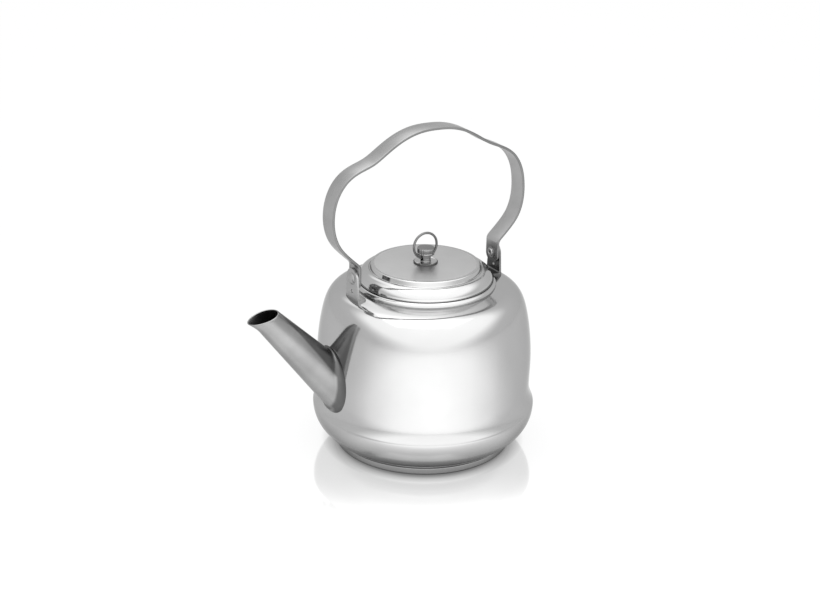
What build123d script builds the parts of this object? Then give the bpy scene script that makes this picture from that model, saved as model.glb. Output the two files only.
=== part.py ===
from build123d import *
import math
import os

# A small stainless camp kettle of the 1.5 litre class, in millimetres.
# Frame: +Z up, origin on the body's axis where the flat bottom stands.
# The spout points along -X.  The bail handle lies in the XZ plane and its two
# pivots share one axis along X, so it folds towards +Y or -Y.

# ---------------------------------------------------------------- driving sizes
SHEET = 0.8  # wall of the drawn body, base and spout

BULGE_R = 79.9  # widest radius, on the rounded base
BULGE_Z = 30.5
LOWER_ARC = 25.0  # radius of the bulge's lower curve
UPPER_ARC = 12.0  # radius where the bulge turns back in
UPPER_TURN = 30.0  # degrees that it turns before the waist
WAIST_R = 76.3  # foot of the straight wall
SEAM_Z = 9.8  # joint between body shell and base pan
SEAM_GROOVE = 0.25

FOOT_R = 64.2  # outside of the stepped foot
FOOT_FLAT_R = 61.8  # edge of the flat bottom
FOOT_ARC_Z = 2.4
GROOVE_R = 63.0  # bottom of the groove above the foot
GROOVE_Z = 6.6
GROOVE_TOP_Z = 8.4  # where the bulge's lower curve meets the groove

# The wall's outer skin as (radius, height), from the waist to the neck.
WALL_LINE = [
    (76.7, 64.0),
    (75.5, 84.0),
    (72.6, 101.0),
    (69.8, 109.6),
    (66.5, 114.4),
    (61.2, 117.4),
    (55.0, 118.3),
]
SHOULDER_Z = 118.6  # top of the shoulder, at the neck
NECK_R = 46.9  # outside of the drawn neck
NECK_COVE = 1.0
BEAD_R = 1.9  # radius of the rolled rim's section
BEAD_CENTRE_R = 47.85
BEAD_CENTRE_Z = 121.3

SPOUT_ROOT = (-70.4, 56.6)  # (x, z) on the spout's axis, inside the body
SPOUT_TIP = (-125.2, 118.2)  # (x, z) at the middle of the mouth
SPOUT_ROOT_R = 15.9
SPOUT_TIP_R = 8.9
SPOUT_MOUTH_TILT = 28.0  # degrees that the mouth is cut away from square
SPOUT_FLARE = 2.5  # radius of the flared root
OPENING_INSET = 2.5  # how far the wall's opening stays inside the spout's root
STRAINER_T = 0.5
STRAINER_GAP = 0.02
STRAINER_MARGIN = 3.0
STRAINER_HOLE_R = 1.6
STRAINER_PITCH = 5.4

LID_T = 0.7
LID_R = 47.4
LID_RIM_Z = 123.4
LID_EDGE_Z = 125.0  # top of the rim's short upright
LID_CREASE = (39.4, 131.9)  # foot of the step round the disc
LID_DISC_R = 38.3
LID_DISC_Z = 134.9
LID_DOME = 0.5  # how far the disc's middle stands above its edge
SKIRT_R = 45.7  # outside of the ring that seats in the neck
SKIRT_LOW_Z = 112.0

LID_TOP_Z = LID_DISC_Z + LID_DOME
ROSETTE_R = 8.3
ROSETTE_T = 0.8
STEM_R = 3.6
HEAD_R = 6.2
HEAD_LOW_Z = 142.4
HEAD_TOP_Z = 146.2
SCREW_R = 1.5
SCREW_HEAD_R = 3.0
SCREW_HEAD_H = 1.8
SCREW_SLOT_W = 0.8
SCREW_TIP_Z = 136.6  # just under the knob's cross hole
INNER_WASHER_R = 6.0
INNER_WASHER_T = 0.8
WASHER_SAG = 0.03  # how far the dome lets the inner washer drop
LID_HOLE_R = 1.7

RING_WIRE_R = 0.8
RING_R = 8.8  # centreline radius of the lift ring
RING_PIVOT_Z = 138.6
RING_HOLE_R = 1.7

STRAP_W = 15.0
STRAP_T = 1.8
STRAP_FOOT_X = 56.0  # middle of the strap's thickness at its foot
STRAP_LOW_Z = 127.0
STRAP_CORNER = 5.0
# The two halves of the hand-bent handle's centreline, as (distance from the middle, z).
FRONT_HALF = [
    (0.0, 233.2),
    (15.0, 231.2),
    (27.0, 226.2),
    (37.0, 220.0),
    (46.0, 214.5),
    (56.0, 210.8),
    (65.0, 205.6),
    (72.3, 195.9),
    (75.9, 182.5),
    (75.2, 170.0),
    (70.8, 159.2),
    (64.4, 151.6),
    (59.0, 146.2),
    (STRAP_FOOT_X, 140.6),
]
REAR_HALF = [
    (0.0, 233.2),
    (15.0, 232.2),
    (27.0, 228.6),
    (37.0, 223.2),
    (46.0, 217.9),
    (56.0, 213.6),
    (65.5, 207.8),
    (72.6, 197.6),
    (75.7, 183.5),
    (75.0, 170.0),
    (70.8, 159.2),
    (64.4, 151.6),
    (59.0, 146.2),
    (STRAP_FOOT_X, 140.6),
]

PIVOT_Z = 133.5
PIVOT_CLEARANCE = 0.05
EAR_X = 57.1  # inner face of the ear
EAR_T = 1.5
EAR_TOP_R = 7.3
EAR_BASE_W = 17.5
EAR_HOLE_R = 1.3
EAR_HOLE_Z = 124.2
TAB_IN_X = 51.6  # inner end of the bracket's welded foot
TAB_TOP_Z = 119.9
TAB_CORNER = 2.5
RIVET_R = 2.0
RIVET_HEAD_R = 4.3
RIVET_HEAD_H = 1.7
WASHER_R = 4.0
WASHER_T = 0.6
WASHER_GAP = 0.15
TAIL_R = 2.9
TAIL_H = 0.9
TAIL_HOLE_R = 1.1


# ---------------------------------------------------------------- small helpers
def spin(face):
    """A face drawn as (radius, height) on the XZ plane, turned round Z."""
    return revolve(face, axis=Axis.Z)


def outline(edges):
    """A face on the XZ plane from a closed chain of edges drawn as (radius, height)."""
    return Plane.XZ * make_face(Curve() + edges)


def inset(curve, thickness, steps=16):
    """The curve moved to its left by a sheet's thickness."""
    points = []
    for step in range(steps + 1):
        at = curve @ (step / steps)
        along = curve % (step / steps)
        points.append((at.X - thickness * along.Y, at.Y + thickness * along.X))
    return Spline(*points)


def spun_sheet(edges, thickness):
    """Sheet turned round Z.  The chain of edges is its outer skin, drawn upwards."""
    closed = Wire(edges).offset_2d(thickness, side=Side.LEFT, closed=True)
    return spin(Plane.XZ * Face(closed))


def spun_smooth_sheet(edges, thickness):
    """The same for a chain with no sharp corners, which may hold free curves."""
    inner = [inset(edge, thickness) for edge in edges]
    ends = [Line(edges[0] @ 0, inner[0] @ 0), Line(edges[-1] @ 1, inner[-1] @ 1)]
    return spin(outline(edges + inner + ends))


def disc(radius, low, high):
    """A round solid on the Z axis between two heights."""
    blank = Cylinder(radius, high - low, align=(Align.CENTER, Align.CENTER, Align.MIN))
    return Pos(0, 0, low) * blank


def bar_x(radius, low_x, high_x, y, z):
    """A round solid along X."""
    blank = Cylinder(radius, high_x - low_x, align=(Align.CENTER, Align.CENTER, Align.MIN))
    return Pos(low_x, y, z) * Rot(0, 90, 0) * blank


def other_side(shape):
    """The shape at the +X pivot turned half round to the -X pivot."""
    return Rot(0, 0, 180) * shape


def both_sides(shape):
    return Compound([shape, other_side(shape)])


# ---------------------------------------------------------------- body and base
def bulge_r(z):
    """Outer radius of the bulge's lower curve at a height."""
    return BULGE_R - LOWER_ARC + math.sqrt(LOWER_ARC**2 - (BULGE_Z - z) ** 2)


def body_edges():
    """Outer skin of the body shell, from the seam to the rolled rim."""
    turn = math.radians(UPPER_TURN)
    drop = 1 - math.cos(turn)
    top = (BULGE_R - UPPER_ARC * drop, BULGE_Z + UPPER_ARC * math.sin(turn))
    cove_arc = (top[0] - WAIST_R) / drop
    waist = (WAIST_R, top[1] + cove_arc * math.sin(turn))
    middle_z = (SEAM_Z + BULGE_Z) / 2 - 4
    shoulder = (NECK_R + NECK_COVE, SHOULDER_Z)
    neck_foot = (NECK_R, SHOULDER_Z + NECK_COVE)
    lower = ThreePointArc(
        (bulge_r(SEAM_Z), SEAM_Z), (bulge_r(middle_z), middle_z), (BULGE_R, BULGE_Z)
    )
    upper = TangentArc((BULGE_R, BULGE_Z), top, tangent=(0, 1))
    cove = TangentArc(top, waist, tangent=(-math.sin(turn), math.cos(turn)))
    wall = Spline(waist, *WALL_LINE, shoulder, tangents=[(0, 1), (-1, 0)])
    neck_cove = TangentArc(shoulder, neck_foot, tangent=(-1, 0))
    neck = Line(neck_foot, (NECK_R, BEAD_CENTRE_Z))
    return [lower, upper, cove, wall, neck_cove, neck]


def body_volume():
    """Everything inside the shell's outer skin, for trimming what is welded to it."""
    closing = [
        Line((NECK_R, BEAD_CENTRE_Z), (0, BEAD_CENTRE_Z)),
        Line((0, BEAD_CENTRE_Z), (0, SEAM_Z)),
        Line((0, SEAM_Z), (bulge_r(SEAM_Z), SEAM_Z)),
    ]
    return spin(outline(body_edges() + closing))


def seam_groove():
    return spin(Plane.XZ * (Pos(bulge_r(SEAM_Z), SEAM_Z) * Circle(SEAM_GROOVE)))


def spout_opening(margin=0.0):
    """A prism along X over the wall behind the spout, larger all round by a margin."""
    along = spout_direction()
    centre_z = SPOUT_ROOT[1] + (WAIST_R + SPOUT_ROOT[0]) * along.Z / -along.X
    half_w = SPOUT_ROOT_R - OPENING_INSET + margin
    half_h = half_w / -along.X
    plane = Plane(origin=(-BULGE_R - 5, 0, centre_z), x_dir=(0, 1, 0), z_dir=(1, 0, 0))
    return extrude(plane * Ellipse(half_w, half_h), 30)


def make_strainer():
    """The perforated plate spot-welded inside the wall, over the spout's opening."""
    wall = body_edges()[3]
    outer = inset(wall, SHEET + STRAINER_GAP)
    inner = inset(wall, SHEET + STRAINER_GAP + STRAINER_T)
    sides = [Line(outer @ 0, inner @ 0), Line(outer @ 1, inner @ 1)]
    plate = spin(outline([outer, inner] + sides))
    around = Pos(0, 0, BULGE_Z) * Box(200, 200, 200) - spout_opening(STRAINER_MARGIN)
    plate = plate - around
    along = spout_direction()
    centre_z = SPOUT_ROOT[1] + (WAIST_R + SPOUT_ROOT[0]) * along.Z / -along.X
    half_w = SPOUT_ROOT_R - OPENING_INSET - STRAINER_HOLE_R
    half_h = half_w / -along.X
    row_step = STRAINER_PITCH * math.sqrt(3) / 2
    rows = int(half_h // row_step)
    columns = int(half_w // STRAINER_PITCH) + 1
    for row in range(-rows, rows + 1):
        for column in range(-columns, columns + 1):
            y = (column + 0.5 * (row % 2)) * STRAINER_PITCH
            z = row * row_step
            if (y / half_w) ** 2 + (z / half_h) ** 2 <= 1:
                drill = bar_x(STRAINER_HOLE_R, -BULGE_R, -60.0, 0, 0)
                plate = plate - Pos(0, y, centre_z + z) * Rot(35, 0, 0) * drill
    return plate


def make_body_shell():
    bead = spin(Plane.XZ * (Pos(BEAD_CENTRE_R, BEAD_CENTRE_Z) * Circle(BEAD_R)))
    shell = spun_smooth_sheet(body_edges(), SHEET) + bead - seam_groove()
    return shell - spout_opening()


def make_base_pan():
    middle_z = (GROOVE_TOP_Z + SEAM_Z) / 2
    edges = [
        Line((0, 0), (FOOT_FLAT_R, 0)),
        TangentArc((FOOT_FLAT_R, 0), (FOOT_R, FOOT_ARC_Z), tangent=(1, 0)),
        Line((FOOT_R, FOOT_ARC_Z), (FOOT_R, GROOVE_Z - 1.2)),
        Line((FOOT_R, GROOVE_Z - 1.2), (GROOVE_R, GROOVE_Z)),
        Line((GROOVE_R, GROOVE_Z), (bulge_r(GROOVE_TOP_Z), GROOVE_TOP_Z)),
        ThreePointArc(
            (bulge_r(GROOVE_TOP_Z), GROOVE_TOP_Z),
            (bulge_r(middle_z), middle_z),
            (bulge_r(SEAM_Z), SEAM_Z),
        ),
    ]
    return spun_sheet(edges, SHEET) - seam_groove()


# ---------------------------------------------------------------- spout
def spout_direction():
    start = Vector(SPOUT_ROOT[0], 0, SPOUT_ROOT[1])
    end = Vector(SPOUT_TIP[0], 0, SPOUT_TIP[1])
    return (end - start).normalized()


def spout_cone(root_r, tip_r, inward=30.0, outward=12.0):
    """A solid cone on the spout's axis, carried on past its root and its tip."""
    along = spout_direction()
    start = Vector(SPOUT_ROOT[0], 0, SPOUT_ROOT[1])
    length = (Vector(SPOUT_TIP[0], 0, SPOUT_TIP[1]) - start).length
    taper = (root_r - tip_r) / length
    cone = Cone(
        root_r + taper * inward,
        tip_r - taper * outward,
        length + inward + outward,
        align=(Align.CENTER, Align.CENTER, Align.MIN),
    )
    return Plane(origin=start - along * inward, x_dir=(0, 1, 0), z_dir=along) * cone


def mouth_cutter():
    """A block above the tilted plane of the mouth."""
    along = spout_direction()
    lean = math.atan2(-along.X, along.Z) - math.radians(SPOUT_MOUTH_TILT)
    normal = (-math.sin(lean), 0, math.cos(lean))
    origin = (SPOUT_TIP[0], 0, SPOUT_TIP[1])
    block = Box(80, 80, 60, align=(Align.CENTER, Align.CENTER, Align.MIN))
    return Plane(origin=origin, x_dir=(0, 1, 0), z_dir=normal) * block


def plain_wall():
    """The body's wall carried straight down past the waist."""
    wall = body_edges()[3]
    waist = (wall @ 0).Y
    top = (wall @ 1).X, (wall @ 1).Y
    edges = [
        Line((WAIST_R, BULGE_Z), (WAIST_R, waist)),
        wall,
        Line(top, (0, top[1])),
        Line((0, top[1]), (0, BULGE_Z)),
        Line((0, BULGE_Z), (WAIST_R, BULGE_Z)),
    ]
    return spin(outline(edges))


def is_root_edge(edge):
    """True for the edge where the spout's cone leaves the wall."""
    box = edge.bounding_box()
    return box.max.X < -60 and box.min.Z > BULGE_Z + 1 and box.max.Z < 100


def make_spout():
    joined = plain_wall() + spout_cone(SPOUT_ROOT_R, SPOUT_TIP_R)
    root = joined.edges().filter_by(is_root_edge)
    joined = fillet(root, SPOUT_FLARE)
    bore = spout_cone(SPOUT_ROOT_R - SHEET, SPOUT_TIP_R - SHEET)
    return joined - body_volume() - bore - mouth_cutter()


# ---------------------------------------------------------------- handle and pivots
def foot_corner(side):
    """What is cut off both feet of the strap to round their corners on one side."""
    middle_y = side * (STRAP_W / 2 - STRAP_CORNER)
    middle_z = STRAP_LOW_Z + STRAP_CORNER
    size = STRAP_CORNER + 1
    block = Pos(0, middle_y + side * size / 2, middle_z - size / 2) * Box(160, size, size)
    return block - bar_x(STRAP_CORNER, -80, 80, middle_y, middle_z)


def strap_half(side):
    """The strap's edges on one side of the middle, from its outer skin to its inner."""
    line = REAR_HALF if side > 0 else FRONT_HALF
    points = [(side * x, z) for x, z in line]
    middle = Spline(*points, tangents=[(side, 0), (0, -1)])
    outer_x = side * (STRAP_FOOT_X + STRAP_T / 2)
    inner_x = side * (STRAP_FOOT_X - STRAP_T / 2)
    foot_top = FRONT_HALF[-1][1]
    return [
        inset(middle, side * STRAP_T / 2, 60),
        Line((outer_x, foot_top), (outer_x, STRAP_LOW_Z)),
        Line((outer_x, STRAP_LOW_Z), (inner_x, STRAP_LOW_Z)),
        Line((inner_x, STRAP_LOW_Z), (inner_x, foot_top)),
        inset(middle, -side * STRAP_T / 2, 60),
    ]


def make_handle_strap():
    """One strap of flat stock, bent to the handle's line and drilled at both feet."""
    section = outline(strap_half(1) + strap_half(-1))
    strap = extrude(Pos(0, STRAP_W / 2, 0) * section, STRAP_W)
    for side in (-1, 1):
        strap = strap - foot_corner(side)
    return strap - bar_x(RIVET_R + PIVOT_CLEARANCE, -60, 60, 0, PIVOT_Z)


def make_bracket():
    """The bracket at the +X pivot: an upright ear on a tab welded to the shoulder."""
    foot = Polyline(
        (-EAR_BASE_W / 2, SHOULDER_Z - 4),
        (EAR_BASE_W / 2, SHOULDER_Z - 4),
        (EAR_TOP_R, PIVOT_Z),
        (-EAR_TOP_R, PIVOT_Z),
        close=True,
    )
    face = make_face(foot) + Pos(0, PIVOT_Z) * Circle(EAR_TOP_R)
    ear = Plane(origin=(EAR_X, 0, 0), x_dir=(0, 1, 0), z_dir=(1, 0, 0)) * face
    ear = extrude(ear, EAR_T)
    length = EAR_X + EAR_T - TAB_IN_X
    tab = Box(length, EAR_BASE_W, 6, align=(Align.MIN, Align.CENTER, Align.MAX))
    tab = Pos(TAB_IN_X, 0, TAB_TOP_Z) * tab
    inner_corners = tab.edges().filter_by(Axis.Z).group_by(Axis.X)[0]
    bracket = ear + fillet(inner_corners, TAB_CORNER)
    bend = [
        e
        for e in bracket.edges().filter_by(Axis.Y)
        if abs(e.center().X - EAR_X) < 0.01 and abs(e.center().Z - TAB_TOP_Z) < 0.01
    ]
    bracket = fillet(bend, 1.0)
    pivot = bar_x(RIVET_R, EAR_X - 2, EAR_X + 4, 0, PIVOT_Z)
    window = bar_x(EAR_HOLE_R, EAR_X - 2, EAR_X + 4, 0, EAR_HOLE_Z)
    return bracket - pivot - window - body_volume()


def make_rivet():
    """The semi-tubular rivet at the +X pivot, set fast in the ear."""
    head_x = EAR_X + EAR_T
    tail_x = STRAP_FOOT_X - STRAP_T / 2 - WASHER_GAP - WASHER_T
    end_x = tail_x - TAIL_H
    hollow_x = tail_x + 1.6
    top_x = head_x + RIVET_HEAD_H
    dome_r = (RIVET_HEAD_R**2 + RIVET_HEAD_H**2) / (2 * RIVET_HEAD_H)
    half_angle = math.asin(RIVET_HEAD_R / dome_r) / 2
    dome_mid = (
        top_x - dome_r * (1 - math.cos(half_angle)),
        dome_r * math.sin(half_angle),
    )
    section = make_face(
        Curve()
        + [
            Polyline(
                (top_x, 0),
                (hollow_x, 0),
                (hollow_x, TAIL_HOLE_R),
                (end_x, TAIL_HOLE_R),
                (end_x, TAIL_R - 0.4),
                (end_x + 0.4, TAIL_R),
                (tail_x, TAIL_R),
                (tail_x, RIVET_R),
                (head_x, RIVET_R),
                (head_x, RIVET_HEAD_R),
            ),
            ThreePointArc((head_x, RIVET_HEAD_R), dome_mid, (top_x, 0)),
        ]
    )
    return Pos(0, 0, PIVOT_Z) * revolve(section, axis=Axis.X)


def make_washer():
    """The washer at the +X pivot, between the strap and the rivet's tail."""
    outer_x = STRAP_FOOT_X - STRAP_T / 2 - WASHER_GAP
    blank = bar_x(WASHER_R, outer_x - WASHER_T, outer_x, 0, PIVOT_Z)
    return blank - bar_x(RIVET_R, outer_x - 2, outer_x + 1, 0, PIVOT_Z)


# ---------------------------------------------------------------- lid, knob and ring
def lid_volume(inset=0.0):
    """Everything under the lid's outer skin, or under its inner skin."""
    rim_r = LID_R - inset
    crease = (LID_CREASE[0] - 0.8 * inset, LID_CREASE[1] - inset)
    step = (LID_DISC_R - 0.8 * inset, LID_DISC_Z - inset)
    shoulder = ((rim_r + crease[0]) / 2 + 1.2, (LID_EDGE_Z + crease[1]) / 2 + 1.6)
    half_disc = (LID_DISC_R / 2, step[1] + 0.75 * LID_DOME)
    top = (0, LID_TOP_Z - inset)
    edges = [
        Line((rim_r, LID_RIM_Z), (rim_r, LID_EDGE_Z)),
        ThreePointArc((rim_r, LID_EDGE_Z), shoulder, crease),
        Line(crease, step),
        ThreePointArc(step, half_disc, top),
        Line(top, (0, LID_RIM_Z)),
        Line((0, LID_RIM_Z), (rim_r, LID_RIM_Z)),
    ]
    return spin(outline(edges))


def make_lid_shell():
    screw_hole = disc(LID_HOLE_R, LID_DISC_Z - 3, LID_TOP_Z + 1)
    return lid_volume() - lid_volume(LID_T) - screw_hole


def make_lid_skirt():
    """The ring that seats in the neck, reaching up to the lid's inner skin."""
    outside = disc(LID_R + 5, LID_RIM_Z, LID_TOP_Z + 5) - lid_volume()
    ring = disc(SKIRT_R, SKIRT_LOW_Z, LID_TOP_Z) - disc(SKIRT_R - LID_T, SKIRT_LOW_Z, LID_TOP_Z)
    return ring - outside - make_lid_shell()


def make_rosette():
    """The raised washer between the lid and the knob."""
    low = LID_TOP_Z - LID_DOME
    blank = disc(ROSETTE_R, low, LID_TOP_Z + ROSETTE_T)
    blank = fillet(blank.edges().group_by(Axis.Z)[-1], 0.5)
    return blank - lid_volume() - disc(LID_HOLE_R, low - 1, LID_TOP_Z + 2)


def make_knob():
    """A turned knob with a flat round head and a cross hole for the ring."""
    head = disc(HEAD_R, HEAD_LOW_Z, HEAD_TOP_Z)
    head = fillet(head.edges().group_by(Axis.Z)[-1], 1.2)
    head = fillet(head.edges().group_by(Axis.Z)[0], 0.6)
    stem = disc(STEM_R, LID_TOP_Z + ROSETTE_T, HEAD_LOW_Z)
    cross = bar_x(RING_HOLE_R, -HEAD_R, HEAD_R, 0, RING_PIVOT_Z)
    socket = disc(SCREW_R, LID_TOP_Z, SCREW_TIP_Z)
    return head + stem - cross - socket


def make_screw():
    """The slotted screw that holds the knob from inside the lid."""
    seat = LID_TOP_Z - LID_T - WASHER_SAG - INNER_WASHER_T
    head = disc(SCREW_HEAD_R, seat - SCREW_HEAD_H, seat)
    head = fillet(head.edges().group_by(Axis.Z)[0], 0.5)
    slot = Pos(0, 0, seat - SCREW_HEAD_H) * Box(2 * SCREW_HEAD_R, SCREW_SLOT_W, 1.6)
    return head + disc(SCREW_R, seat - 0.1, SCREW_TIP_Z) - slot


def make_inner_washer():
    """The flat washer between the screw's head and the lid's domed inside."""
    seat = LID_TOP_Z - LID_T - WASHER_SAG
    return disc(INNER_WASHER_R, seat - INNER_WASHER_T, seat) - disc(SCREW_R, seat - 2, seat + 1)


def make_ring():
    ring = Torus(RING_R, RING_WIRE_R)
    return Pos(0, 0, RING_PIVOT_Z + RING_R) * Rot(90, 0, 0) * ring


def main():
    os.makedirs("parts", exist_ok=True)
    bracket = make_bracket()
    parts = {
        "body_shell": make_body_shell(),
        "base_pan": make_base_pan(),
        "strainer": make_strainer(),
        "spout": make_spout(),
        "front_bracket": other_side(bracket),
        "rear_bracket": bracket,
        "pivot_rivets": both_sides(make_rivet()),
        "pivot_washers": both_sides(make_washer()),
        "handle_strap": make_handle_strap(),
        "lid_shell": make_lid_shell(),
        "lid_skirt": make_lid_skirt(),
        "knob_rosette": make_rosette(),
        "knob": make_knob(),
        "knob_screw": make_screw(),
        "inner_washer": make_inner_washer(),
        "lift_ring": make_ring(),
    }
    for name, shape in parts.items():
        export_step(shape, f"parts/{name}.step")


main()
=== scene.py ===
import math

import bmesh
import bpy
from mathutils import Matrix, Vector


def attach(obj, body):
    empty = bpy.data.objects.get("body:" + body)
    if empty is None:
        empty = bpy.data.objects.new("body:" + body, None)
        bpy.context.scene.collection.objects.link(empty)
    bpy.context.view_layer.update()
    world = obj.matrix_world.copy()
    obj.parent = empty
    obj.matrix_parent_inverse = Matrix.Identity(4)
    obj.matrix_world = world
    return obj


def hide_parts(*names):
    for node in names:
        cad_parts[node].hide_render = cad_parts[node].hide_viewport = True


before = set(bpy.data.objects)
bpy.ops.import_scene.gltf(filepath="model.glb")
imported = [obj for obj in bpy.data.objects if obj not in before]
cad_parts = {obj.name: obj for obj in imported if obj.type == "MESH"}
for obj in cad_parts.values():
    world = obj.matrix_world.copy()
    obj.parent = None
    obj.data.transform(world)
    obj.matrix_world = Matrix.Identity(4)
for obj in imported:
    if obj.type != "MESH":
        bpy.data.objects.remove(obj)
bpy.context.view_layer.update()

MM = 0.001

# ------------------------------------------------------------------ camera
AIM = Vector((0, 0, 0.1065))  # in metres, on the kettle's axis
BEARING, ELEVATION, ROLL = -31.0, 22.0, 1.1  # in degrees
DISTANCE = 1.077  # in metres
LENS, SENSOR, SHIFT = 66.64, 36.0, -0.01814
CAMERA_SIDE = math.radians(BEARING - 90)  # where the camera stands, as an angle from the X axis


def make_camera():
    bearing, elevation = math.radians(BEARING), math.radians(ELEVATION)
    back = Vector(
        (
            math.sin(bearing) * math.cos(elevation),
            -math.cos(bearing) * math.cos(elevation),
            math.sin(elevation),
        )
    )
    data = bpy.data.cameras.new("camera")
    data.sensor_width = SENSOR
    data.lens = LENS
    data.shift_x = SHIFT
    data.clip_start = 0.05
    data.clip_end = 60.0
    camera = bpy.data.objects.new("camera", data)
    bpy.context.scene.collection.objects.link(camera)
    camera.location = AIM + DISTANCE * back
    look = (AIM - camera.location).to_track_quat("-Z", "Y").to_matrix().to_4x4()
    roll = Matrix.Rotation(math.radians(ROLL), 4, "Z")
    camera.matrix_world = Matrix.Translation(camera.location) @ look @ roll
    bpy.context.scene.camera = camera


# ------------------------------------------------------------------ curves
def lerp(a, b, t):
    return a + (b - a) * t


def smooth_curve(points, start, end, count):
    """A cubic spline through 2D points with given end directions, as count + 1 points."""
    pts = [Vector(p) for p in points]
    knots = [0.0]
    for a, b in zip(pts, pts[1:]):
        knots.append(knots[-1] + (b - a).length)
    n = len(pts)
    slopes = [None] * n
    slopes[0] = Vector(start).normalized()
    slopes[-1] = Vector(end).normalized()
    lower, diag, upper, right = [0.0] * n, [1.0] * n, [0.0] * n, list(slopes)
    for i in range(1, n - 1):
        h0, h1 = knots[i] - knots[i - 1], knots[i + 1] - knots[i]
        lower[i], diag[i], upper[i] = 1 / h0, 2 * (1 / h0 + 1 / h1), 1 / h1
        d0, d1 = (pts[i] - pts[i - 1]) / h0**2, (pts[i + 1] - pts[i]) / h1**2
        right[i] = 3 * (d0 + d1)
    for i in range(1, n):
        factor = lower[i] / diag[i - 1]
        diag[i] -= factor * upper[i - 1]
        right[i] = right[i] - factor * right[i - 1]
    slopes[-1] = right[-1] / diag[-1]
    for i in range(n - 2, -1, -1):
        slopes[i] = (right[i] - upper[i] * slopes[i + 1]) / diag[i]
    out = []
    total = knots[-1]
    for k in range(count + 1):
        s = total * k / count
        i = max(j for j in range(n - 1) if knots[j] <= s + 1e-12)
        h = knots[i + 1] - knots[i]
        t = (s - knots[i]) / h
        a, b = pts[i], pts[i + 1]
        h00, h10 = 2 * t**3 - 3 * t**2 + 1, t**3 - 2 * t**2 + t
        h01, h11 = -2 * t**3 + 3 * t**2, t**3 - t**2
        out.append(h00 * a + h10 * h * slopes[i] + h01 * b + h11 * h * slopes[i + 1])
    return out


def arc(centre, radius, start, end, count):
    """Points on a circle in 2D, angles in degrees."""
    out = []
    for k in range(count + 1):
        angle = math.radians(lerp(start, end, k / count))
        out.append(Vector((centre[0] + radius * math.cos(angle), centre[1] + radius * math.sin(angle))))
    return out


def short_arc(centre, a, b, count):
    """Points on a circle about a centre, from a to b the short way round."""
    start = math.atan2(a.y - centre.y, a.x - centre.x)
    sweep = math.atan2(b.y - centre.y, b.x - centre.x) - start
    sweep = (sweep + math.pi) % (2 * math.pi) - math.pi
    radius = (a - centre).length
    steps = [start + sweep * k / count for k in range(count + 1)]
    return [centre + radius * Vector((math.cos(t), math.sin(t))) for t in steps]


def arc_through(a, middle, b, count):
    """Points on the circle through three 2D points."""
    a, middle, b = Vector(a), Vector(middle), Vector(b)
    u, v = middle - a, b - a
    d = 2 * (u.x * v.y - u.y * v.x)
    uu, vv = u.length_squared, v.length_squared
    centre = a + Vector((v.y * uu - u.y * vv, u.x * vv - v.x * uu)) / d
    return short_arc(centre, a, b, count)


def rounded(points, count=6):
    """A 2D path of (x, y, corner radius), with its corners turned into arcs."""
    out = []
    last = len(points) - 1
    for i, (x, y, radius) in enumerate(points):
        here = Vector((x, y))
        if i in (0, last) or radius <= 0:
            out.append(here)
            continue
        to_last = (Vector(points[i - 1][:2]) - here).normalized()
        to_next = (Vector(points[i + 1][:2]) - here).normalized()
        half = to_last.angle(to_next) / 2
        back = radius / math.tan(half)
        centre = here + (to_last + to_next).normalized() * (radius / math.sin(half))
        out += short_arc(centre, here + to_last * back, here + to_next * back, count)
    return out


def joined(*runs):
    """Runs of 2D points end to end, without doubled points."""
    out = []
    for run in runs:
        for p in run:
            p = Vector(p)
            if not out or (p - out[-1]).length > 1e-4:
                out.append(p)
    return out


# ------------------------------------------------------------------ meshes
def new_piece(name, mesh, body, nodes, material, sharp=None):
    """A visible piece from a mesh; edges that turn by more than sharp degrees stay crisp."""
    piece = bpy.data.objects.new(name, mesh)
    bpy.context.scene.collection.objects.link(piece)
    for polygon in mesh.polygons:
        polygon.use_smooth = True
    if sharp is not None:
        mesh.set_sharp_from_angle(angle=math.radians(sharp))
    mesh.materials.append(material)
    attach(piece, body)
    if nodes:
        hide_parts(*nodes)
    return piece


def mesh_from(name, verts, faces):
    mesh = bpy.data.meshes.new(name)
    mesh.from_pydata([tuple(v) for v in verts], [], faces)
    mesh.validate()
    mesh.update()
    return mesh


def lathe_mesh(name, profile, steps=256, place=None):
    """A closed surface turned round Z from a path of (radius, height) in mm.
    Points on the axis become poles.  The path runs with the outside on its right."""
    verts, rings = [], []
    for r, z in profile:
        if r < 1e-6:
            rings.append([len(verts)] * steps)
            verts.append(Vector((0, 0, z)) * MM)
            continue
        rings.append(list(range(len(verts), len(verts) + steps)))
        for k in range(steps):
            angle = 2 * math.pi * k / steps
            verts.append(Vector((r * math.cos(angle), r * math.sin(angle), z)) * MM)
    faces = []
    for low, high in zip(rings, rings[1:]):
        for k in range(steps):
            j = (k + 1) % steps
            corners = [low[k], low[j], high[j], high[k]]
            face = [c for i, c in enumerate(corners) if c not in corners[:i]]
            if len(face) > 2:
                faces.append(face)
    if place is not None:
        verts = [place @ v for v in verts]
    return mesh_from(name, verts, faces)


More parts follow.
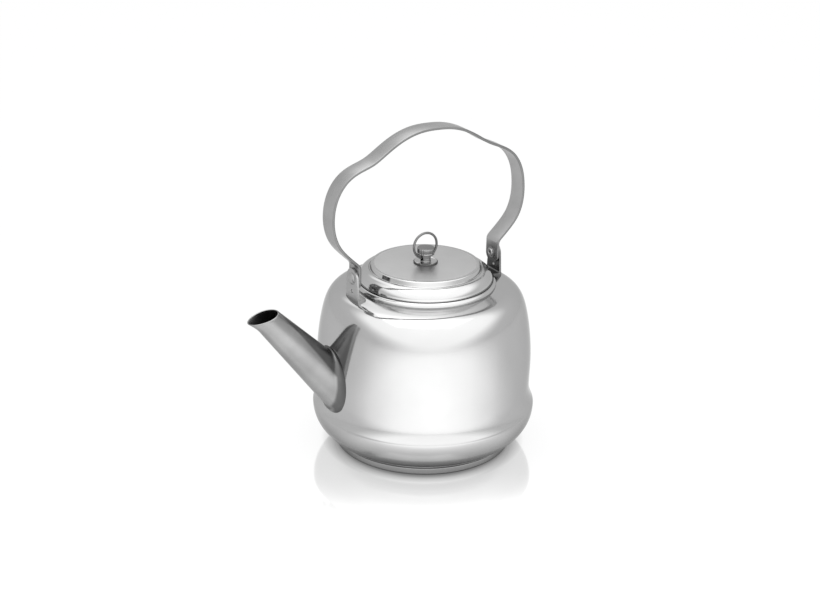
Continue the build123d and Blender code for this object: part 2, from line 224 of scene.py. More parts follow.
def strip_mesh(name, path, half_width, thickness, edge, edge_steps):
    """Flat stock bent to a path of (x, z) in mm, its width along Y.
    half_width(distance, length) gives half its width; edge is the radius of its long edges."""
    lengths = [0.0]
    for a, b in zip(path, path[1:]):
        lengths.append(lengths[-1] + (b - a).length)
    total = lengths[-1]
    verts, rings = [], []
    for i, p in enumerate(path):
        before, after = path[max(i - 1, 0)], path[min(i + 1, len(path) - 1)]
        along = (after - before).normalized()
        out = Vector((-along.y, along.x))
        w = half_width(lengths[i], total)
        section = []
        e = min(edge, w)
        for cy, ct, start in (
            (w - e, thickness / 2 - edge, 0),
            (-w + e, thickness / 2 - edge, 90),
            (-w + e, -thickness / 2 + edge, 180),
            (w - e, -thickness / 2 + edge, 270),
        ):
            for k in range(edge_steps + 1):
                angle = math.radians(start + 90 * k / edge_steps)
                section.append((cy + e * math.cos(angle), ct + edge * math.sin(angle)))
        rings.append(range(len(verts), len(verts) + len(section)))
        for y, t in section:
            verts.append(Vector((p.x + out.x * t, y, p.y + out.y * t)) * MM)
    faces = []
    count = len(rings[0])
    for low, high in zip(rings, rings[1:]):
        for k in range(count):
            j = (k + 1) % count
            faces.append([low[k], low[j], high[j], high[k]])
    faces.append(list(rings[0])[::-1])
    faces.append(list(rings[-1]))
    return mesh_from(name, verts, faces)


def torus_mesh(name, radius, wire, place, steps=96, around=20):
    """A ring of round wire in the XY plane, its sizes in mm, moved to its place."""
    verts, faces = [], []
    for i in range(steps):
        a = 2 * math.pi * i / steps
        for k in range(around):
            b = 2 * math.pi * k / around
            r = radius + wire * math.cos(b)
            spot = Vector((r * math.cos(a), r * math.sin(a), wire * math.sin(b)))
            verts.append(place @ (spot * MM))
    for i in range(steps):
        for k in range(around):
            j, m = (i + 1) % steps, (k + 1) % around
            faces.append([i * around + k, j * around + k, j * around + m, i * around + m])
    return mesh_from(name, verts, faces)


def cut(piece, cutter_mesh):
    """Cuts a hole in a piece with a closed mesh, then forgets the cutter."""
    cutter = bpy.data.objects.new("cutter", cutter_mesh)
    bpy.context.scene.collection.objects.link(cutter)
    boolean = piece.modifiers.new("cut", "BOOLEAN")
    boolean.object = cutter
    boolean.solver = "EXACT"
    bpy.context.view_layer.update()
    graph = bpy.context.evaluated_depsgraph_get()
    made = bpy.data.meshes.new_from_object(piece.evaluated_get(graph))
    piece.modifiers.remove(boolean)
    piece.data = made
    bpy.data.objects.remove(cutter)


# ------------------------------------------------------------------ materials
class Nodes:
    """A short way to write a node tree."""

    def __init__(self, tree):
        self.tree = tree

    def add(self, kind, inputs=None, **settings):
        node = self.tree.nodes.new(kind)
        for key, value in settings.items():
            setattr(node, key, value)
        for key, value in (inputs or {}).items():
            socket = node.inputs[key]
            if isinstance(value, bpy.types.NodeSocket):
                self.tree.links.new(value, socket)
            else:
                socket.default_value = value
        return node

    def math(self, operation, a, b=0.0, clamp=False):
        node = self.add("ShaderNodeMath", {0: a, 1: b}, operation=operation, use_clamp=clamp)
        return node.outputs[0]

    def ramp(self, value, stops):
        """A grey level that follows a value, through stops of (value, level)."""
        node = self.add("ShaderNodeValToRGB", {"Fac": value})
        ramp = node.color_ramp
        while len(ramp.elements) < len(stops):
            ramp.elements.new(0.5)
        for element, (position, level) in zip(ramp.elements, stops):
            element.position = position
            element.color = (level, level, level, 1.0)
        return node.outputs["Color"]

    def noise(self, where, scale, detail, roughness):
        inputs = {"Vector": where, "Scale": scale, "Detail": detail, "Roughness": roughness}
        return self.add("ShaderNodeTexNoise", inputs).outputs["Fac"]

    def split(self, vector):
        node = self.add("ShaderNodeSeparateXYZ", {0: vector})
        return node.outputs[0], node.outputs[1], node.outputs[2]

    def hypot(self, x, y):
        squares = self.math("ADD", self.math("MULTIPLY", x, x), self.math("MULTIPLY", y, y))
        return self.math("SQRT", squares)

    def along(self, x, y, angle):
        """How far (x, y) reaches in the direction of an angle."""
        part = self.math("MULTIPLY", x, math.cos(angle))
        return self.math("ADD", part, self.math("MULTIPLY", y, math.sin(angle)))

    def mask(self, value, start, slope):
        """0 up to a value and 1 well past it, or the reverse if the slope is negative."""
        return self.math("MULTIPLY", self.math("SUBTRACT", value, start), slope, clamp=True)


def node_material(name):
    """A new material with an empty node tree, and the means to fill it."""
    material = bpy.data.materials.new(name)
    material.use_nodes = True
    material.node_tree.nodes.clear()
    return material, Nodes(material.node_tree)


WHITE = (1.0, 1.0, 1.0, 1.0)
GRAIN_ALONG, GRAIN_ROUND = 20.0, 0.6  # noise cells along the grain, per metre and per radian
CLOUD_CELLS, SCUFF_CELLS = 38.0, 900.0  # noise cells per metre
CLOUD_SHARE = 0.8  # how much the clouds vary the roughness, beside the fine lines
# the greys that the shade masks darken the steel to: mostly painted shade
SHADE_LEVELS = (0.075, 0.115)
SATIN_ROUGHNESS = 0.24


def steel(name, level, rough, spread, lines, depth, blotch=0.03, around=True, shade=None, satin=None):
    """Stainless steel with a fine finish that runs round the Z axis, or along X.
    level is its grey, give or take blotch, and rough its roughness, give or take about spread.
    shade is a mask of where it is darkened, mostly with painted shade and on the strap's cut edges for
    its dull sheared metal, and satin of where it is rougher."""
    material, n = node_material(name)
    where = n.add("ShaderNodeTexCoord").outputs["Object"]
    x, y, z = n.split(where)
    if around:
        scales = ((n.math("ARCTAN2", y, x), GRAIN_ROUND), (n.hypot(x, y), lines), (z, lines))
    else:
        scales = ((x, GRAIN_ALONG), (y, lines), (z, GRAIN_ALONG))
    parts = {i: n.math("MULTIPLY", part, scale) for i, (part, scale) in enumerate(scales)}
    grain = n.add("ShaderNodeCombineXYZ", parts).outputs[0]
    fine = n.noise(grain, 1.0, 3.0, 0.6)
    cloud = n.noise(where, CLOUD_CELLS, 3.0, 0.55)
    scuff = n.noise(where, SCUFF_CELLS, 2.0, 0.5)
    colour = n.ramp(cloud, [(0.3, max(level - blotch, 0)), (0.7, min(level + blotch, 1))])
    # darkens the colour where the shade mask says: painted shade, and dull sheared metal on the strap's
    # edges
    if shade:
        shaded = n.ramp(cloud, [(0.3, SHADE_LEVELS[0]), (0.7, SHADE_LEVELS[1])])
        mix = n.add("ShaderNodeMix", {0: shade(n, x, y, z), 6: colour, 7: shaded}, data_type="RGBA")
        colour = mix.outputs[2]
    uneven = n.math("MULTIPLY", cloud, spread * CLOUD_SHARE)
    uneven = n.math("ADD", n.math("MULTIPLY", fine, spread), uneven)
    mean = spread * (1 + CLOUD_SHARE) / 2
    roughness = n.math("ADD", uneven, rough - mean, clamp=True)
    if satin:
        rougher = n.math("MULTIPLY", satin(n, x, y, z), SATIN_ROUGHNESS)
        roughness = n.math("ADD", roughness, rougher, clamp=True)
    height = n.math("ADD", n.math("MULTIPLY", fine, 0.8), n.math("MULTIPLY", scuff, 0.2))
    bump = n.add("ShaderNodeBump", {"Height": height, "Strength": depth, "Distance": 0.0001})
    shader = n.add(
        "ShaderNodeBsdfPrincipled",
        {
            "Base Color": colour,
            "Metallic": 1.0,
            "Roughness": roughness,
            "Specular Tint": (0.7, 0.7, 0.7, 1.0),
            "Normal": bump.outputs[0],
        },
    )
    n.add("ShaderNodeOutputMaterial", {"Surface": shader.outputs[0]})
    return material


# ------------------------------------------------------------------ the body's outline
# Radii and heights are in mm from here on.
SHEET = 0.8
BULGE_R, BULGE_Z, LOWER_ARC, UPPER_ARC = 79.9, 30.5, 25.0, 5.0
WAIST_R = 76.3
COVE_TURN = 26.0  # the steepest the wall leans between the waist and the bulge, in degrees
SEAM_Z = 9.8
BEAD_R, NECK_Z = 49.9, 120.0
WALL_LINE = [
    (76.7, 64.0), (75.5, 84.0), (72.6, 101.0), (69.8, 109.6),
    (66.5, 114.4), (61.2, 117.4), (55.0, 118.7), (48.5, NECK_Z),
]


def bulge_r(z):
    return BULGE_R - LOWER_ARC + math.sqrt(LOWER_ARC**2 - (BULGE_Z - z) ** 2)


def body_outline():
    """The body shell's outer skin from its seam to the neck, as (radius, height)."""
    centre = (BULGE_R - LOWER_ARC, BULGE_Z)
    start = -math.degrees(math.asin((BULGE_Z - SEAM_Z) / LOWER_ARC))
    lower = arc(centre, LOWER_ARC, start, 0, 40)
    upper = arc((BULGE_R - UPPER_ARC, BULGE_Z), UPPER_ARC, 0, COVE_TURN, 14)
    top = upper[-1]
    cove_r = (top.x - WAIST_R) / (1 - math.cos(math.radians(COVE_TURN)))
    waist_z = top.y + cove_r * math.sin(math.radians(COVE_TURN))
    cove = arc((WAIST_R + cove_r, waist_z), cove_r, 180 + COVE_TURN, 180, 20)
    wall = smooth_curve([(WAIST_R, waist_z), *WALL_LINE], (0, 1), (-0.98, 0.2), 110)
    return joined(lower, upper, cove, wall)


def radius_at(outline, z):
    """Outer radius of the body's wall at a height, well below the shoulder."""
    for a, b in zip(outline, outline[1:]):
        if a.y <= z <= b.y:
            return lerp(a.x, b.x, (z - a.y) / max(b.y - a.y, 1e-9))
    return WAIST_R


def offset(path, distance):
    """The path moved to its left."""
    out = []
    for i, p in enumerate(path):
        before, after = path[max(i - 1, 0)], path[min(i + 1, len(path) - 1)]
        along = (after - before).normalized()
        out.append(Vector((p.x - distance * along.y, p.y + distance * along.x)))
    return out


# ------------------------------------------------------------------ body and base
FOOT_SHADE_Z, FOOT_SHADE_SHARE = 33.0, 0.57  # the body gets painted shade, and is made rougher, by up to this share, from this height down


def foot_shade_and_satin(n, x, y, z):
    """How far the body is darkened towards its foot with painted shade, for the dark floor it mirrors
    there; the same mask makes it rougher.
    """
    return n.math("MULTIPLY", n.mask(z, FOOT_SHADE_Z * MM, -77.0), FOOT_SHADE_SHARE)


def make_body(material):
    outer = [p for p in body_outline() if p.x > BEAD_R]
    inner = offset(outer, SHEET)
    lip = [outer[0] + Vector((-0.35, 0.05)), outer[0] + Vector((0.02, 0.3))]
    bead = joined(
        [(49.7, 119.8)],
        arc_through((BEAD_R, NECK_Z), (49.85, 121.6), (48.6, 123.05), 24),
        arc_through((48.5, 123.1), (47.5, 123.25), (46.7, 122.8), 8),
    )
    neck = rounded([(46.4, 122.3, 0), (46.1, 119.0, 0.6), (47.2, 118.4, 0.6), (49.0, 118.8, 0)])
    profile = joined([inner[0]], lip, outer[4:], bead, neck, inner[:0:-1])
    mesh = lathe_mesh("kettle_body", profile, 320)
    new_piece("kettle_body", mesh, "kettle", ["body_shell"], material, 32)


def make_base(material):
    seam_r, bend_z = bulge_r(SEAM_Z), 8.2
    outer = rounded(
        [
            (0, 0, 0),
            (63.4, 0, 2.2),
            (64.3, 5.6, 0.6),
            (62.9, 6.6, 0.35),
            (bulge_r(bend_z), bend_z, 0.3),
            (seam_r + 0.1, SEAM_Z - 0.25, 0.2),
            (seam_r - 1.0, SEAM_Z + 0.1, 0),
        ]
    )
    inner = [(seam_r - 1.4, SEAM_Z), (62.0, 6.6), (62.8, 2.5), (60.5, SHEET), (0, SHEET)]
    mesh = lathe_mesh("base_pan_spun", joined(outer, inner), 320)
    new_piece("base_pan_spun", mesh, "kettle", ["base_pan"], material, 32)


# ------------------------------------------------------------------ spout
SPOUT_ROOT, SPOUT_TIP = Vector((-70.4, 0, 56.6)), Vector((-125.2, 0, 118.2))
SPOUT_ROOT_R, SPOUT_TIP_R, SPOUT_TILT = 15.9, 8.9, 28.0
SPOUT_STEPS = 160
LIP_DRAW, LIP_ROUND = 2.4, 0.45
FILLET_R, FLANK_Y = 80.3, 5.0  # the painted shade on the fillet's flanks stops at this radius and starts past this width


def spout_side_shade(n, x, y, z):
    """1 on the spout's side towards the body and on the fillet's flanks, where shade is painted into the
    colour.
    """
    root, tip = SPOUT_ROOT * MM, SPOUT_TIP * MM
    along = (tip - root).normalized()
    up = Vector((along.z, 0, -along.x))

    def dot(way):
        part = n.math("MULTIPLY", n.math("SUBTRACT", x, root.x), way.x)
        return n.math("ADD", part, n.math("MULTIPLY", n.math("SUBTRACT", z, root.z), way.z))

    share = n.math("DIVIDE", dot(along), (tip - root).length)
    narrowing = n.math("MULTIPLY", share, (SPOUT_TIP_R - SPOUT_ROOT_R) * MM)
    rise = n.math("DIVIDE", dot(up), n.math("ADD", narrowing, SPOUT_ROOT_R * MM))
    inner = n.mask(n.math("SUBTRACT", rise, n.math("MULTIPLY", share, 0.95)), -0.04, 9.0)
    fillet = n.mask(n.hypot(x, y), FILLET_R * MM, -700.0)
    flank = n.mask(n.math("ABSOLUTE", y), FLANK_Y * MM, 250.0)
    return n.math("MAXIMUM", inner, n.math("MULTIPLY", fillet, flank))


def last_where(holds, low, high):
    """The end of the stretch from low towards high on which a condition holds, by halving."""
    for _ in range(40):
        middle = (low + high) / 2
        if holds(middle):
            low = middle
        else:
            high = middle
    return low


def spout_lines(outline, inset):
    """For each direction round the spout: its root on the body's skin and its end at the mouth."""
    along = (SPOUT_TIP - SPOUT_ROOT).normalized()
    side = Vector((0, 1, 0))
    up = along.cross(side)
    length = (SPOUT_TIP - SPOUT_ROOT).length
    lean = math.atan2(-along.x, along.z) - math.radians(SPOUT_TILT)
    mouth_normal = Vector((-math.sin(lean), 0, math.cos(lean)))
    lines = []
    for k in range(SPOUT_STEPS):
        angle = 2 * math.pi * k / SPOUT_STEPS
        ray = math.cos(angle) * side + math.sin(angle) * up

        def at(s):
            return SPOUT_ROOT + along * s + ray * (lerp(SPOUT_ROOT_R, SPOUT_TIP_R, s / length) - inset)

        def in_body(s):
            return math.hypot(at(s).x, at(s).y) < radius_at(outline, at(s).z)

        def before_mouth(s):
            return (at(s) - SPOUT_TIP).dot(mouth_normal) < 0

        root, end = last_where(in_body, -30.0, 60.0), last_where(before_mouth, 40.0, 110.0)
        lines.append((at(root), at(end)))
    return lines


def spout_fillet(outline, inwards, before, root, after, run, around):
    """A curve from the body's skin to the cone at one point of its root, widest on its flanks."""
    skin = Vector((root.x, root.y, 0)).normalized()
    slope = radius_at(outline, root.z + 0.5) - radius_at(outline, root.z - 0.5)
    skin = (skin - Vector((0, 0, slope))).normalized()
    away = (after - before).cross(skin).normalized()
    if away.dot(inwards) > 0:
        away = -away
    size = 1.9 - 0.9 * math.sin(around) + 5.2 * abs(math.cos(around)) ** 1.5
    foot = root + away * size
    fit = (radius_at(outline, foot.z) - 0.05) / math.hypot(foot.x, foot.y)
    foot = Vector((foot.x * fit, foot.y * fit, foot.z))
    hip = root + run * size
    shares = [i / 8 for i in range(9)]
    return [(1 - t) ** 2 * foot + 2 * t * (1 - t) * root + t * t * hip for t in shares]


def lip_pull(turn):
    """How far the mouth's edge is drawn out, most on the side away from the body."""
    outer = max(0.0, math.sin(2 * math.pi * turn)) ** 1.5
    return Vector((-0.96, 0, -0.28)) * (LIP_DRAW * outer)


def spout_column(fillet, outer_line, inner_line, pull):
    """A line of points up the spout's outside, over its lip and down its bore."""
    (root, tip), (in_root, in_tip) = outer_line, inner_line
    run, in_run = (tip - root).normalized(), (in_root - in_tip).normalized()
    lip_out, lip_in = tip + pull, in_tip + pull
    column = list(fillet)
    start, end = fillet[-1], lip_out - run * LIP_ROUND
    for i in range(1, 41):
        share = i / 40
        drawn = max(0.0, (share - 0.9) / 0.1) ** 1.6
        column.append(start.lerp(end, share) - pull * (share - drawn))
    inward = (lip_in - lip_out).normalized()
    half = (lip_out - lip_in).length / 2
    for i in range(1, 7):
        a = math.pi * i / 7
        over = run * (half * math.sin(a) - LIP_ROUND) - inward * (half * math.cos(a))
        column.append((lip_out + lip_in) / 2 + over)
    for i in range(31):
        drawn = max(0.0, 1 - i / 3) ** 1.6
        column.append((in_tip + in_run * LIP_ROUND).lerp(in_root, i / 30) + pull * drawn)
    return column


def make_spout(material):
    outline = body_outline()
    outer, inner = spout_lines(outline, 0.0), spout_lines(outline, SHEET)
    centre = sum((root for root, _ in outer), Vector()) / SPOUT_STEPS
    columns = []
    for k, (root, tip) in enumerate(outer):
        before, after = outer[k - 1][0], outer[(k + 1) % SPOUT_STEPS][0]
        run, around = (tip - root).normalized(), 2 * math.pi * k / SPOUT_STEPS
        fillet = spout_fillet(outline, centre - root, before, root, after, run, around)
        columns.append(spout_column(fillet, outer[k], inner[k], lip_pull(k / SPOUT_STEPS)))
    count = len(columns[0])
    verts = [p * MM for column in columns for p in column]
    faces = []
    for k in range(SPOUT_STEPS):
        j = (k + 1) % SPOUT_STEPS
        for i in range(count - 1):
            faces.append([k * count + i, k * count + i + 1, j * count + i + 1, j * count + i])
    mesh = mesh_from("spout_cone", verts, faces)
    bm = bmesh.new()
    bm.from_mesh(mesh)
    bmesh.ops.recalc_face_normals(bm, faces=bm.faces)
    bm.to_mesh(mesh)
    bm.free()
    new_piece("spout_cone", mesh, "kettle", ["spout"], material, 50)


# ------------------------------------------------------------------ handle
PIVOT_Z = 133.5
STRAP_SPAN = 56.0  # half the distance between the strap's two feet
STRAP_THICKNESS, STRAP_HALF_WIDTH, STRAP_CORNER, STRAP_EDGE = 1.8, 7.5, 5.0, 0.6
STRAP_FOOT_Z = 141.8  # the strap is straight from here down, so it clears the ear when it is folded
STRAP_END_Z = 132.0  # its rounded end starts here
STRAP_TOP = (0.0, 233.2)
STRAP_LEG = [(70.8, 159.2), (64.4, 151.6), (59.0, 146.4), (STRAP_SPAN, STRAP_FOOT_Z)]
FRONT_HALF = [
    STRAP_TOP, (15.0, 231.2), (27.0, 226.2), (37.0, 220.0), (46.0, 214.5), (56.0, 210.8),
    (65.0, 205.6), (72.3, 195.9), (75.9, 182.5), (75.2, 170.0), *STRAP_LEG,
]
REAR_HALF = [
    STRAP_TOP, (15.0, 232.2), (27.0, 228.6), (37.0, 223.2), (46.0, 217.9), (56.0, 213.6),
    (65.5, 207.8), (72.6, 197.6), (75.7, 183.5), (75.0, 170.0), *STRAP_LEG,
]


def cut_edges_and_foot_shade(n, x, y, z):
    """How far the strap is darkened: on its sheared edges, whose metal is dull, and on its feet with
    painted shade; not on its faces.
    """
    side = n.mask(n.math("ABSOLUTE", y), (STRAP_HALF_WIDTH - 0.55) * MM, 4000.0)
    # painted shade on the feet, for the dark lid and shoulder they face
    low = n.mask(z, (STRAP_FOOT_Z + 1.2) * MM, -180.0)
    return n.math("MAXIMUM", n.math("MULTIPLY", side, 0.75), n.math("MULTIPLY", low, 0.7))


def make_handle(material):
    front = smooth_curve(FRONT_HALF, (1, 0), (0, -1), 180)
    rear = smooth_curve(REAR_HALF, (1, 0), (0, -1), 180)
    bend = [Vector((-p.x, p.y)) for p in front[:0:-1]] + rear
    foot = [(STRAP_SPAN, STRAP_FOOT_Z - 0.8 * k) for k in range(1, 13)]
    turns = [math.radians(a) for a in range(0, 91, 6)]
    tip = [(STRAP_SPAN, STRAP_END_Z - STRAP_CORNER * math.sin(a)) for a in turns]
    end = [Vector(p) for p in foot + tip]
    start = [Vector((-p.x, p.y)) for p in end[::-1]]
    path = joined(start, bend, end)

    def half_width(distance, total):
        near = min(distance, total - distance)
        if near >= STRAP_CORNER:
            return STRAP_HALF_WIDTH
        rest = math.sqrt(max(STRAP_CORNER**2 - (STRAP_CORNER - near) ** 2, 0.0))
        return STRAP_HALF_WIDTH - STRAP_CORNER + rest

    mesh = strip_mesh("handle_bail", path, half_width, STRAP_THICKNESS, STRAP_EDGE, 4)
    new_piece("handle_bail", mesh, "handle", ["handle_strap"], material, 60)


EAR_FACE, HEAD_R, HEAD_RISE = 58.6, 4.3, 1.7  # the ear's outer face, and the rivet's head on it
STRAP_FACE, TAIL_R, TAIL_BORE = 54.35, 2.9, 1.1  # the strap's inner face, and the rivet's tail on it
TAIL_END, BORE_END, SHANK_R = 53.45, 55.95, 2.0


def make_pivots(material):
    """A domed rivet head outside each ear, and its rolled tail inside the strap."""
    for name, side in (("front", -1), ("rear", 1)):
        turn = Matrix.Translation((0, 0, PIVOT_Z * MM)) @ Matrix.Rotation(math.radians(90 * side), 4, "Y")
        dome_r = (HEAD_R**2 + HEAD_RISE**2) / (2 * HEAD_RISE)
        angle = math.degrees(math.asin(HEAD_R / dome_r))
        dome = arc((0, EAR_FACE + HEAD_RISE - dome_r), dome_r, 90 - angle, 90, 16)
        edge = [(0, EAR_FACE), (HEAD_R - 0.05, EAR_FACE), (HEAD_R, EAR_FACE + 0.15)]
        head = joined(edge, dome[1:])
        head[-1].x = 0
        mesh = lathe_mesh("rivet_head_" + name, head, 64, turn)
        piece = new_piece("rivet_head_" + name, mesh, "kettle", [], material, 40)
        if side == 1:
            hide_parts("pivot_rivets")
        tail = rounded(
            [
                (0, BORE_END, 0),
                (TAIL_BORE, BORE_END, 0),
                (TAIL_BORE, TAIL_END, 0.4),
                (TAIL_R, TAIL_END, 0.45),
                (TAIL_R, STRAP_FACE, 0.1),
                (SHANK_R, STRAP_FACE, 0),
                (SHANK_R, EAR_FACE + 0.1, 0),
                (0, EAR_FACE + 0.1, 0),
            ]
        )
        mesh = lathe_mesh("rivet_tail_" + name, tail, 48, turn)
        new_piece("rivet_tail_" + name, mesh, "kettle", [], material, 40)


# ------------------------------------------------------------------ lid
LID_R, LID_EDGE_Z, DISC_TOP_Z = 47.4, 123.45, 135.4
DISC_R, FLANGE_R = 37.6, 7.8  # the lid's disc is satin inside the one, the flange has painted shade outside the other


# painted shade on the flange's edge, for the dark line round it
def flange_rim_shade(n, x, y, z):
    return n.mask(n.hypot(x, y), FLANGE_R * MM, 2500.0)


def lid_disc(n, x, y, z):
    return n.mask(n.hypot(x, y), DISC_R * MM, -500.0)


def make_lid(material):
    edge = rounded([(46.75, LID_EDGE_Z, 0), (LID_R, LID_EDGE_Z, 0.25), (LID_R, 125.0, 0)], 5)
    shoulder = arc_through((LID_R, 125.0), (44.6, 130.05), (40.1, 131.75), 28)
    disc = rounded(
        [
            (40.1, 131.75, 0),
            (39.7, 131.3, 0.3),
            (39.0, 131.5, 0.3),
            (38.35, 134.9, 0.75),
            (18.0, 135.3, 60.0),
            (0, DISC_TOP_Z, 0),
        ],
        10,
    )
    under = rounded(
        [
            (0, 134.7, 0),
            (18.0, 134.6, 0),
            (37.7, 134.2, 0.5),
            (38.5, 130.7, 0.5),
            (42.4, 130.6, 3.0),
            (46.7, 126.3, 3.0),
            (46.75, LID_EDGE_Z, 0),
        ],
        6,
    )
    mesh = lathe_mesh("lid_pressing", joined(edge, shoulder, disc, under), 320)
    new_piece("lid_pressing", mesh, "lid", ["lid_shell"], material, 40)
    ring = rounded([(45.0, 128.4, 0), (45.0, 112.0, 0.3), (45.7, 112.0, 0.3), (45.7, 127.9, 0)], 4)
    mesh = lathe_mesh("lid_seat_ring", ring, 256)
    new_piece("lid_seat_ring", mesh, "lid", ["lid_skirt"], material, 40)


# ------------------------------------------------------------------ knob and ring
FLANGE_Z = 135.3
KNOB_R, GRIP_Z = 6.1, 143.3  # the grip is knurled from this height up
KNURLS, KNURL_DEPTH = 32, 0.035
BORE_Z, BORE_R = 138.6, 1.7
RING_X, RING_Z, RING_R, RING_WIRE = -0.5, 147.7, 9.2, 0.85


def make_flange(material):
    flange = rounded(
        [
            (7.9, FLANGE_Z, 0),
            (8.6, FLANGE_Z, 0.15),
            (8.7, 136.3, 0.35),
            (7.6, 136.75, 0.3),
            (7.0, 136.45, 0.6),
            (0, 136.5, 0),
        ],
        6,
    )
    mesh = lathe_mesh("knob_flange", [Vector((0, FLANGE_Z)), *flange], 96)
    new_piece("knob_flange", mesh, "lid", ["knob_rosette"], material, 40)


def make_knob(material):
    turned = rounded(
        [
            (0, 136.3, 0),
            (3.9, 136.3, 0.2),
            (3.6, 137.0, 0.6),
            (3.6, 141.2, 0.6),
            (KNOB_R, 141.4, 0.45),
            (KNOB_R, 142.5, 0.15),
            (5.6, 142.9, 0.15),
            (KNOB_R, GRIP_Z, 0.1),
            (KNOB_R, 146.4, 0.35),
            (0, 146.5, 0),
        ],
        8,
    )
    mesh = lathe_mesh("knob_turned", turned, 4 * KNURLS)
    for vert in mesh.vertices:
        if math.hypot(vert.co.x, vert.co.y) > (KNOB_R - 0.2) * MM and vert.co.z > (GRIP_Z - 0.1) * MM:
            turn = math.atan2(vert.co.y, vert.co.x) * KNURLS
            cut_in = 1 - KNURL_DEPTH * (0.5 - 0.5 * math.cos(turn))
            vert.co.x, vert.co.y = vert.co.x * cut_in, vert.co.y * cut_in
    knob = new_piece("knob_turned", mesh, "lid", ["knob"], material, 35)
    place = Matrix.Translation((0, 0, BORE_Z * MM)) @ Matrix.Rotation(math.radians(90), 4, "Y")
    drill = lathe_mesh("drill", [(0, -8), (BORE_R, -8), (BORE_R, 8), (0, 8)], 40, place)
    cut(knob, drill)
    for polygon in knob.data.polygons:
        polygon.use_smooth = True
    knob.data.set_sharp_from_angle(angle=math.radians(35))


def make_ring(material):
    place = Matrix.Translation((RING_X * MM, 0, RING_Z * MM)) @ Matrix.Rotation(math.radians(90), 4, "X")
    mesh = torus_mesh("lift_ring_wire", RING_R, RING_WIRE, place)
    new_piece("lift_ring_wire", mesh, "ring", ["lift_ring"], material)


# ------------------------------------------------------------------ stage
FLOOR_HALF, FLOOR_DROP = 30.0, 0.0002  # metres
FLOOR_CENTRE = 10.0  # where the painted pool of light on the floor is brightest, in degrees from the camera's side
TABLE_GLOW, LIGHT_POOL_BOOST = 1.05, 1.33


def mirrored_turn(n, x, y, centre):
    """For a point on the floor: how far from a bearing the body's wall mirrors it, in half turns,
    and its distance from the axis.  The bearing is in degrees from the camera's side."""
    length = n.hypot(x, y)
    towards = n.along(x, y, CAMERA_SIDE)
    across = n.along(x, y, CAMERA_SIDE + math.pi / 2)
    nearness = n.math("DIVIDE", WAIST_R * MM / 2, n.math("MAXIMUM", length, WAIST_R * MM))
    turn = n.math("DIVIDE", n.math("ARCTAN2", across, towards), n.math("SUBTRACT", 1.0, nearness))
    turn = n.math("ABSOLUTE", n.math("SUBTRACT", turn, math.radians(centre)))
    return n.math("DIVIDE", turn, math.pi), length


def floor_material():
    """A glossy white glowing floor, with a painted pool of light in front of the kettle and a painted
    shadow under it.
    """
    material, n = node_material("white_acrylic")
    x, y, _ = n.split(n.add("ShaderNodeTexCoord").outputs["Object"])
    turn, away = mirrored_turn(n, x, y, FLOOR_CENTRE)
    # the painted pool of light, by where the body's wall mirrors the floor
    bell = n.ramp(
        turn,
        [
            (0.03, 1.0), (0.085, 0.96), (0.155, 0.88), (0.222, 0.74),
            (0.289, 0.52), (0.361, 0.31), (0.433, 0.08), (0.5, 0.0),
        ],
    )
    reach = n.ramp(away, [(0.075, 0.0), (0.10, 0.14), (0.12, 0.4), (0.155, 1.0)])
    # painted shadow round the kettle's foot
    under = n.ramp(away, [(0.0625, 0.28), (0.0745, 0.93), (0.1, 1.0)])
    light_pool = n.math("MULTIPLY", n.math("MULTIPLY", bell, LIGHT_POOL_BOOST), reach)
    glow = n.math("MULTIPLY", n.math("ADD", light_pool, TABLE_GLOW), under)
    table = n.add("ShaderNodeEmission", {"Color": WHITE, "Strength": glow}).outputs[0]
    gloss = n.add("ShaderNodeBsdfGlossy", {"Color": WHITE, "Roughness": 0.08}).outputs[0]
    fresnel = n.add("ShaderNodeFresnel", {"IOR": 3.6}).outputs[0]
    both = n.add("ShaderNodeMixShader", {"Fac": fresnel, 1: table, 2: gloss})
    n.add("ShaderNodeOutputMaterial", {"Surface": both.outputs[0]})
    return material


def make_floor():
    h = FLOOR_HALF
    mesh = mesh_from("floor", [(-h, -h, 0), (h, -h, 0), (h, h, 0), (-h, h, 0)], [[0, 1, 2, 3]])
    floor = bpy.data.objects.new("floor", mesh)
    bpy.context.scene.collection.objects.link(floor)
    floor.location.z = -FLOOR_DROP
    mesh.materials.append(floor_material())


TENT_TURN, TENT_RISE = 11.0, 60.0  # the tent's brightest part, from the camera's side, in degrees
STRIP_RISE = 80.0  # the way the overhead strip lies, in degrees


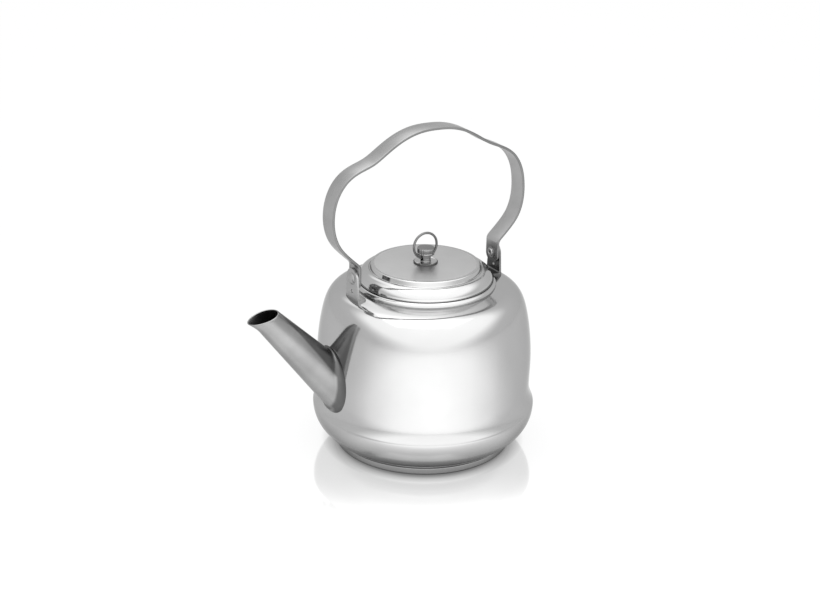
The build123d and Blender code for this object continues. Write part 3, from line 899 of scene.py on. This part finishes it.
def make_world():
    """A white tent, brightest above the camera, with a soft strip of light overhead."""
    world = bpy.data.worlds.new("tent")
    bpy.context.scene.world = world
    world.use_nodes = True
    world.node_tree.nodes.clear()
    n = Nodes(world.node_tree)
    x, y, z = n.split(n.add("ShaderNodeTexCoord").outputs["Generated"])
    bearing = CAMERA_SIDE + math.radians(TENT_TURN)
    flat = n.along(x, y, bearing)
    across = n.math("ABSOLUTE", n.along(x, y, bearing + math.pi / 2))
    towards = n.along(flat, z, math.radians(TENT_RISE))
    glow = n.ramp(towards, [(0.0, 0.93), (0.25, 0.98), (0.36, 1.25), (0.55, 2.0), (1.0, 2.2)])
    width = n.ramp(across, [(0.17, 1.0), (0.32, 0.0)])
    length = n.ramp(n.along(flat, z, math.radians(STRIP_RISE)), [(0.32, 0.0), (0.44, 1.0)])
    behind = n.ramp(n.math("ADD", flat, 1.0), [(0.55, 1.0), (1.0, 0.6)])
    strip = n.math("MULTIPLY", n.math("MULTIPLY", width, length), n.math("MULTIPLY", behind, 0.9))
    no_front = n.ramp(flat, [(0.2, 1.0), (0.6, 0.0)])
    glow = n.math("ADD", glow, n.math("MULTIPLY", strip, no_front))
    back = n.add("ShaderNodeBackground", {"Color": glow, "Strength": 1.0})
    n.add("ShaderNodeOutputWorld", {"Surface": back.outputs[0]})


def make_softbox():
    data = bpy.data.lights.new("top_softbox", "AREA")
    data.shape = "SQUARE"
    data.size = 1.0
    data.energy = 4.0
    light = bpy.data.objects.new("top_softbox", data)
    bpy.context.scene.collection.objects.link(light)
    light.location = (-0.1, -0.15, 1.1)
    light.rotation_euler = (-light.location).to_track_quat("-Z", "Y").to_euler()


make_camera()
make_floor()
make_world()
make_softbox()
bpy.context.scene.view_settings.view_transform = "Standard"

sheared = {"rough": 0.3, "spread": 0.12, "lines": 900.0, "depth": 0.35, "around": False}
bail_steel = steel("bail_stainless", 0.36, shade=cut_edges_and_foot_shade, **sheared)
knob_steel = steel("turned_stainless", 0.23, 0.12, 0.05, 2500.0, 0.25)
# the body's lower part gets painted shade and more roughness
body_steel = steel(
    "polished_stainless", 0.44, 0.11, 0.02, 1500.0, 0.12, 0.008, shade=foot_shade_and_satin, satin=foot_shade_and_satin
)
spout_steel = steel("spout_stainless", 0.235, 0.3, 0.08, 1500.0, 0.12, shade=spout_side_shade)
lid_steel = steel("lid_stainless", 0.46, 0.09, 0.03, 1800.0, 0.1, 0.015, satin=lid_disc)
flange_steel = steel("flange_stainless", 0.45, 0.15, 0.05, 1800.0, 0.1, shade=flange_rim_shade)
ring_steel = steel("wire_stainless", 0.14, 0.3, 0.1, 900.0, 0.2)
# a darker copy of the strap's steel for the rear bracket: painted shade
rear_shaded_steel = steel("rear_shaded_stainless", 0.15, blotch=0.06, **sheared)
strap_steel = steel("satin_stainless", 0.36, **sheared)
make_body(body_steel)
make_base(body_steel)
make_spout(spout_steel)
make_handle(bail_steel)
make_pivots(strap_steel)
make_lid(lid_steel)
make_flange(flange_steel)
make_knob(knob_steel)
make_ring(ring_steel)
for node, material in (
    ("front_bracket", strap_steel),
    ("rear_bracket", rear_shaded_steel),
    ("strainer", strap_steel),
    ("pivot_washers", strap_steel),
    ("knob_screw", strap_steel),
    ("inner_washer", strap_steel),
):
    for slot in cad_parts[node].material_slots:
        slot.material = material
